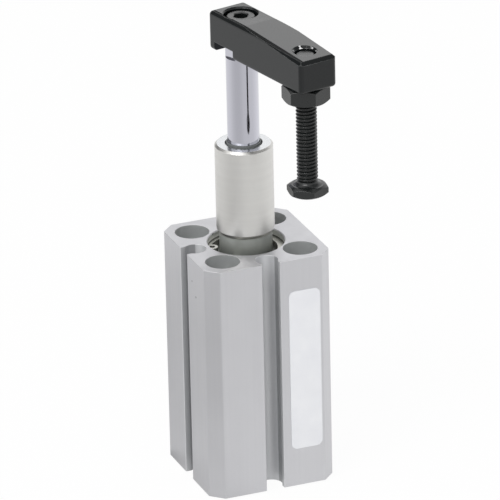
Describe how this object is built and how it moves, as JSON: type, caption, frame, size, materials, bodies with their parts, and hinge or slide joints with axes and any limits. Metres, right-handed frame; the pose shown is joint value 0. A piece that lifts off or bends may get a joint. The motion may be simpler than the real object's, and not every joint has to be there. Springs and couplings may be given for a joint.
{
  "type": "swing clamp cylinder",
  "caption": "Square pneumatic clamp cylinder whose rod swings an arm a quarter turn on a cam groove, then pulls its clamp bolt straight down onto the work.",
  "frame": {"origin": "rod axis at the bottom face of the body, which is the centre of the mounting holes", "axes": "+Z along the rod towards the clamp arm, -Y out of the label face, +Y out of the port face"},
  "size_m": [0.025, 0.0377, 0.0913],
  "materials": {
    "anodised_aluminium": "satin clear anodised extrusion",
    "turned_aluminium": "fine turned",
    "spring_steel": "stamped, dull",
    "seal_rubber": "smooth moulded",
    "bumper_rubber": "matt moulded",
    "bearing_bronze": "sintered",
    "wear_resin": "machined",
    "magnet_rubber": "moulded",
    "hardened_steel": "ground",
    "chromed_steel": "hard chrome, mirror",
    "black_arm_steel": "gloss black oxide",
    "black_screw_steel": "satin black oxide",
    "label_film": "white film"
  },
  "bodies": {
    "cylinder": {"cylinder_body": "anodised_aluminium", "rod_cover": "turned_aluminium", "front_retaining_ring": "spring_steel", "rod_cover_oring": "seal_rubber", "rod_bush": "bearing_bronze", "rod_packing": "seal_rubber", "guide_pins": "hardened_steel", "rear_cover": "turned_aluminium", "rear_cover_oring": "seal_rubber", "rear_retaining_ring": "spring_steel", "rear_bumper": "bumper_rubber", "label": "label_film"},
    "front_bumper": {"front_bumper": "bumper_rubber"},
    "piston_seals": {"piston_seal": "seal_rubber", "wear_ring": "wear_resin"},
    "rod": {"piston_rear": "turned_aluminium", "piston_magnet": "magnet_rubber", "piston_front": "turned_aluminium", "spigot_oring": "seal_rubber", "piston_screw": "black_screw_steel", "piston_rod": "chromed_steel", "clamp_arm": "black_arm_steel", "arm_screw": "black_screw_steel", "lock_nut": "black_screw_steel"},
    "clamp_bolt": {"clamp_bolt": "black_screw_steel"}
  },
  "joints": [
    {"name": "clamp_stroke", "type": "slide", "parent": "cylinder", "child": "front_bumper", "axis": [0, 0, -1], "range_m": [0, 0.01]},
    {"name": "swing_stroke", "type": "slide", "parent": "front_bumper", "child": "piston_seals", "axis": [0, 0, -1], "range_m": [0, 0.0075]},
    {"name": "swing", "type": "hinge", "parent": "piston_seals", "child": "rod", "pos_m": [0, 0, 0.06], "axis": [0, 0, 1], "range_deg": [0, 90]},
    {"name": "bolt_adjust", "type": "slide", "parent": "rod", "child": "clamp_bolt", "axis": [0, 0, 1], "range_m": [-0.003, 0.012]}
  ],
  "couplings": [
    {"joint": "swing", "follows": "swing_stroke", "rad_per_m": 209.43}
  ]
}
